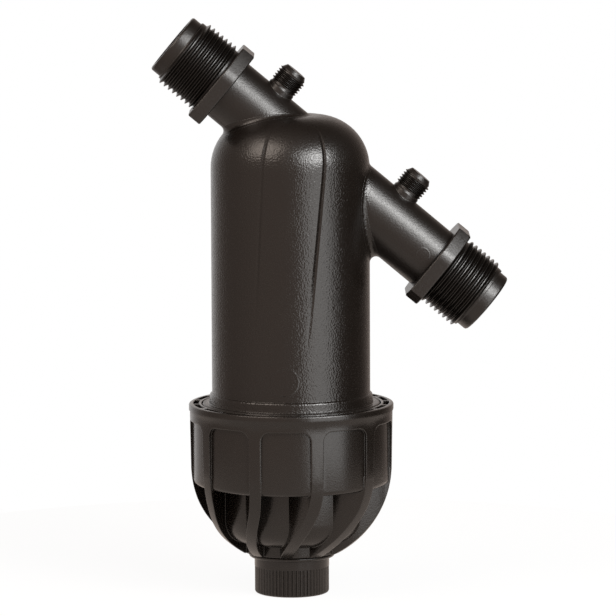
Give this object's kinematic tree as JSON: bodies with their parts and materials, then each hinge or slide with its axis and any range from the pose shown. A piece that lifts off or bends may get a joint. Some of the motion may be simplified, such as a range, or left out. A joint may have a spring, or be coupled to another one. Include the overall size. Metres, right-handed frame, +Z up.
{
  "type": "irrigation disc filter",
  "caption": "In-line irrigation disc filter with slanted threaded ports, gauge stubs, a screw-on ribbed bowl, a disc cartridge and a drain cap.",
  "frame": {"origin": "centre of the drain cap's underside", "axes": "+Z up the chamber axis, +X towards the inlet port, the picture's camera at -Y"},
  "size_m": [0.1517, 0.088, 0.248],
  "materials": {
    "black_plastic": "fine-grained satin black moulding",
    "seal_rubber": "matt black rubber",
    "disc_plastic": "red-brown moulding with fine radial grooves"
  },
  "bodies": {
    "drain_cap": {"drain_cap": "black_plastic"},
    "drain_seal": {"drain_gasket": "seal_rubber"},
    "bowl": {"bowl": "black_plastic"},
    "bowl_seal": {"bowl_o_ring": "seal_rubber"},
    "cartridge": {"spine": "black_plastic", "neck_o_ring": "seal_rubber", "disc_01": "disc_plastic", "disc_02": "disc_plastic", "disc_03": "disc_plastic", "disc_04": "disc_plastic", "disc_05": "disc_plastic", "disc_06": "disc_plastic", "disc_07": "disc_plastic", "disc_08": "disc_plastic", "disc_09": "disc_plastic", "disc_10": "disc_plastic", "disc_11": "disc_plastic", "disc_12": "disc_plastic", "disc_13": "disc_plastic", "disc_14": "disc_plastic", "disc_15": "disc_plastic", "disc_16": "disc_plastic", "disc_17": "disc_plastic", "disc_18": "disc_plastic", "disc_19": "disc_plastic", "disc_20": "disc_plastic", "disc_21": "disc_plastic", "disc_22": "disc_plastic", "disc_23": "disc_plastic", "disc_24": "disc_plastic", "disc_25": "disc_plastic", "disc_26": "disc_plastic", "disc_27": "disc_plastic", "disc_28": "disc_plastic", "disc_29": "disc_plastic", "disc_30": "disc_plastic", "disc_31": "disc_plastic", "disc_32": "disc_plastic", "disc_33": "disc_plastic", "disc_34": "disc_plastic", "disc_35": "disc_plastic", "disc_36": "disc_plastic", "disc_37": "disc_plastic", "disc_38": "disc_plastic", "disc_39": "disc_plastic", "disc_40": "disc_plastic", "disc_41": "disc_plastic", "disc_42": "disc_plastic", "disc_43": "disc_plastic", "disc_44": "disc_plastic", "disc_45": "disc_plastic", "disc_46": "disc_plastic"},
    "clamp_plate": {"pressure_plate": "black_plastic"},
    "clamp_nut": {"clamp_nut": "black_plastic"},
    "housing": {"housing": "black_plastic"}
  },
  "joints": [
    {"name": "cap_turn", "type": "hinge", "parent": "drain_cap", "child": "drain_seal", "pos_m": [0, 0, 0.01], "axis": [0, 0, 1], "range_deg": [0, 2160]},
    {"name": "cap_clear", "type": "slide", "parent": "drain_seal", "child": "bowl", "axis": [0, 0, 1], "range_m": [0, 0.011]},
    {"name": "bowl_turn", "type": "hinge", "parent": "bowl", "child": "bowl_seal", "pos_m": [0, 0, 0.06], "axis": [0, 0, 1], "range_deg": [0, 1080]},
    {"name": "bowl_clear", "type": "slide", "parent": "bowl_seal", "child": "cartridge", "axis": [0, 0, 1], "range_m": [0, 0.0181]},
    {"name": "housing_lift", "type": "slide", "parent": "cartridge", "child": "housing", "axis": [0, 0, 1], "range_m": [0, 0.14]},
    {"name": "plate_lower", "type": "slide", "parent": "cartridge", "child": "clamp_plate", "axis": [0, 0, -1], "range_m": [0, 0.0051]},
    {"name": "nut_turn", "type": "hinge", "parent": "clamp_plate", "child": "clamp_nut", "pos_m": [0, 0, 0.06], "axis": [0, 0, -1], "range_deg": [0, 720]}
  ],
  "couplings": [
    {"joint": "cap_clear", "follows": "cap_turn", "m_per_rad": 0.00028871},
    {"joint": "bowl_clear", "follows": "bowl_turn", "m_per_rad": 0.00095493},
    {"joint": "plate_lower", "follows": "nut_turn", "m_per_rad": 0.00039789}
  ]
}
